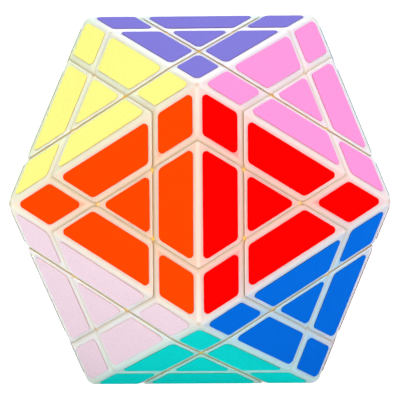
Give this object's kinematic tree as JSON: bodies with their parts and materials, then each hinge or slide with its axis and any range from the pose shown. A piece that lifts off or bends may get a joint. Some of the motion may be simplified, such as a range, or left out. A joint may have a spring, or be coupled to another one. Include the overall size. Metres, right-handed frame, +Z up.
{
  "type": "icosahedron twisty puzzle",
  "caption": "Icosahedral twisty puzzle: triangular faces cut into corner, edge and centre pieces, with a layer that turns about each corner.",
  "frame": {"origin": "middle of the triangular face that the puzzle rests on", "axes": "+Z up; +Y from the front to the back, so that the upright front edge is at -Y; +X to the right seen from the front"},
  "size_m": [0.081, 0.0934, 0.0756],
  "materials": {
    "white_plastic": "milky, slightly translucent, smooth",
    "core_plastic": "moulded",
    "screw_steel": "plated",
    "spring_steel": "drawn wire",
    "sticker_violet": "satin vinyl",
    "sticker_yellow": "satin vinyl",
    "sticker_orange": "satin vinyl",
    "sticker_red": "satin vinyl",
    "sticker_pink": "satin vinyl",
    "sticker_blush": "satin vinyl",
    "sticker_blue": "satin vinyl",
    "sticker_turquoise": "satin vinyl",
    "sticker_green": "satin vinyl",
    "sticker_lime": "satin vinyl",
    "sticker_sky": "satin vinyl",
    "sticker_navy": "satin vinyl",
    "sticker_brown": "satin vinyl",
    "sticker_grey": "satin vinyl",
    "sticker_maroon": "satin vinyl",
    "sticker_peach": "satin vinyl",
    "sticker_magenta": "satin vinyl",
    "sticker_olive": "satin vinyl",
    "sticker_forest": "satin vinyl",
    "sticker_black": "satin vinyl"
  },
  "bodies": {
    "base": {"base_group_black": "white_plastic", "core_and_screws": "core_plastic", "edge_blue_turquoise": "white_plastic", "edge_blush_turquoise": "white_plastic", "edge_grey_olive": "white_plastic", "edge_lime_navy": "white_plastic", "edge_magenta_forest": "white_plastic", "edge_maroon_forest": "white_plastic", "edge_orange_red": "white_plastic", "edge_peach_olive": "white_plastic", "edge_sky_brown": "white_plastic", "edge_violet_green": "white_plastic", "edge_violet_pink": "white_plastic", "edge_violet_yellow": "white_plastic", "face_forest": "white_plastic", "face_olive": "white_plastic", "face_turquoise": "white_plastic", "face_violet": "white_plastic", "vertex_base_back": "white_plastic", "vertex_base_left": "white_plastic", "vertex_base_right": "white_plastic", "vertex_front": "white_plastic", "vertex_rear_left": "white_plastic", "vertex_rear_right": "white_plastic", "vertex_top_front": "white_plastic", "vertex_top_left": "white_plastic", "vertex_top_right": "white_plastic"},
    "left_layer": {"vertex_left": "white_plastic", "face_yellow": "white_plastic", "face_orange": "white_plastic", "face_blush": "white_plastic", "face_lime": "white_plastic", "face_grey": "white_plastic", "edge_blush_grey": "white_plastic", "edge_lime_grey": "white_plastic", "edge_orange_blush": "white_plastic", "edge_yellow_lime": "white_plastic", "edge_yellow_orange": "white_plastic"},
    "right_layer": {"vertex_right": "white_plastic", "face_pink": "white_plastic", "face_red": "white_plastic", "face_blue": "white_plastic", "face_sky": "white_plastic", "face_maroon": "white_plastic", "edge_blue_maroon": "white_plastic", "edge_pink_red": "white_plastic", "edge_pink_sky": "white_plastic", "edge_red_blue": "white_plastic", "edge_sky_maroon": "white_plastic"},
    "back_layer": {"vertex_back": "white_plastic", "face_green": "white_plastic", "face_navy": "white_plastic", "face_brown": "white_plastic", "face_peach": "white_plastic", "face_magenta": "white_plastic", "edge_brown_magenta": "white_plastic", "edge_green_brown": "white_plastic", "edge_green_navy": "white_plastic", "edge_navy_peach": "white_plastic", "edge_peach_magenta": "white_plastic"}
  },
  "joints": [
    {"name": "left_layer_turn", "type": "hinge", "parent": "base", "child": "left_layer", "pos_m": [0, 0, 0.03779], "axis": [-0.8507, -0.4911, 0.1876], "continuous": true},
    {"name": "right_layer_turn", "type": "hinge", "parent": "base", "child": "right_layer", "pos_m": [0, 0, 0.03779], "axis": [0.8507, -0.4911, 0.1876], "continuous": true},
    {"name": "back_layer_turn", "type": "hinge", "parent": "base", "child": "back_layer", "pos_m": [0, 0, 0.03779], "axis": [0, 0.9822, 0.1876], "continuous": true}
  ]
}
